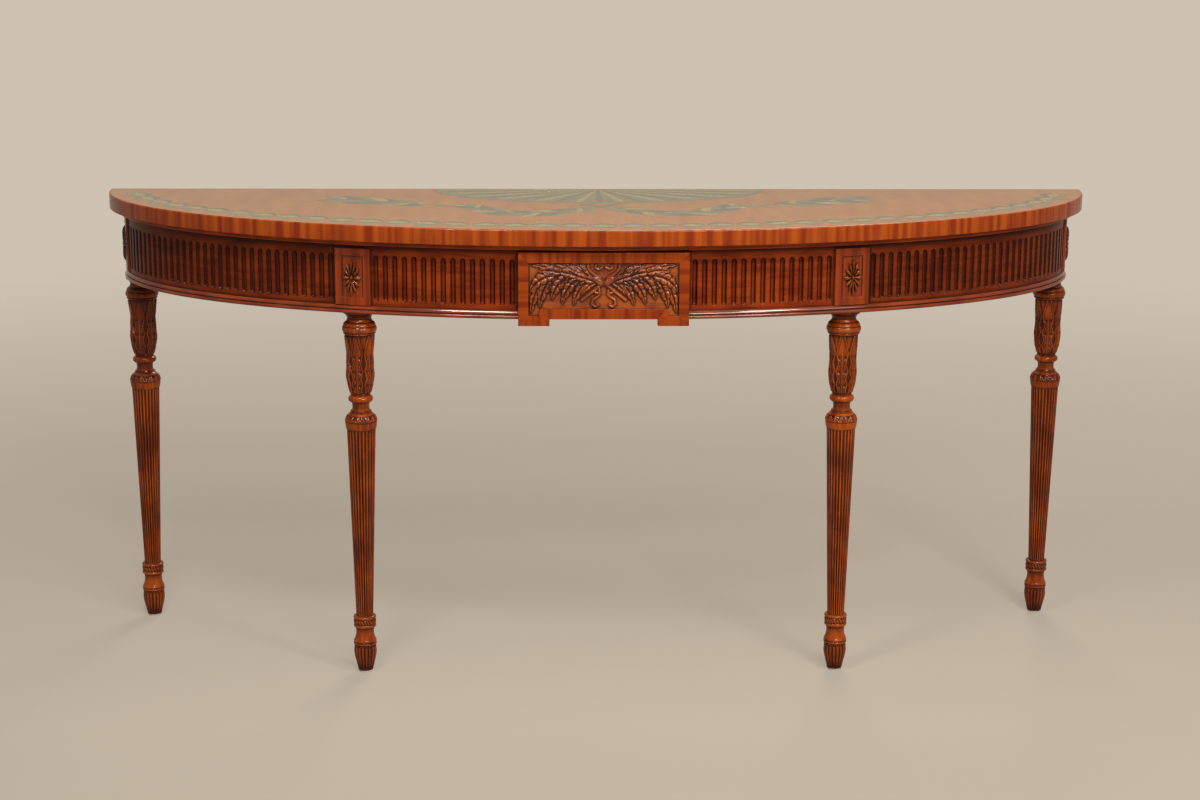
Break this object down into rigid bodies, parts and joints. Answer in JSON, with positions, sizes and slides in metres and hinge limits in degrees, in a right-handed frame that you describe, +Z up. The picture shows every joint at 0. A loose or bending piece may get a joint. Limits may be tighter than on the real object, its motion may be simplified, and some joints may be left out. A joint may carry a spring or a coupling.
{
  "type": "demilune table",
  "caption": "Half-elliptical side table with a painted top, fluted curved apron, carved front tablet and turned, reeded tapering legs; stands with its straight back to a wall.",
  "frame": {"origin": "on the floor under the middle of the top's bounding box", "axes": "+Z up, +X along the straight back edge to the right of someone facing the curved front, +Y from the curved front to the straight back"},
  "size_m": [1.86, 0.49, 0.84],
  "materials": {
    "carved_mahogany": "carved mahogany, dark glaze in the hollows, gloss lacquer",
    "crossbanded_mahogany": "cross-banded mahogany veneer, gloss lacquer",
    "painted_satinwood": "satinwood veneer with painted ornament, gloss lacquer",
    "secondary_wood": "plain sawn hardwood",
    "white_nylon": "moulded nylon",
    "steel": "plain steel screws"
  },
  "bodies": {
    "root": {"bead_left": "carved_mahogany", "bead_right": "carved_mahogany", "bearer_left": "secondary_wood", "bearer_right": "secondary_wood", "bed_moulding": "carved_mahogany", "cleat_back": "secondary_wood", "cleat_front_left": "secondary_wood", "cleat_front_right": "secondary_wood", "cleat_side_left": "secondary_wood", "cleat_side_right": "secondary_wood", "corner_block_left": "secondary_wood", "corner_block_right": "secondary_wood", "die_back_left": "crossbanded_mahogany", "die_back_right": "crossbanded_mahogany", "die_front_left": "crossbanded_mahogany", "die_front_right": "crossbanded_mahogany", "glide_back_left": "white_nylon", "glide_back_right": "white_nylon", "glide_front_left": "white_nylon", "glide_front_right": "white_nylon", "leg_back_left": "carved_mahogany", "leg_back_right": "carved_mahogany", "leg_front_left": "carved_mahogany", "leg_front_right": "carved_mahogany", "patera_back_left": "carved_mahogany", "patera_back_right": "carved_mahogany", "patera_front_left": "carved_mahogany", "patera_front_right": "carved_mahogany", "post_back_left": "secondary_wood", "post_back_right": "secondary_wood", "post_front_left": "secondary_wood", "post_front_right": "secondary_wood", "rail_back": "secondary_wood", "rail_front": "carved_mahogany", "rail_left": "carved_mahogany", "rail_right": "carved_mahogany", "tablet": "crossbanded_mahogany", "tablet_carving": "carved_mahogany", "tablet_screws": "steel", "top_back_strip": "crossbanded_mahogany", "top_core": "secondary_wood", "top_edge_band": "crossbanded_mahogany", "top_screws": "steel", "top_veneer": "painted_satinwood"}
  },
  "joints": []
}
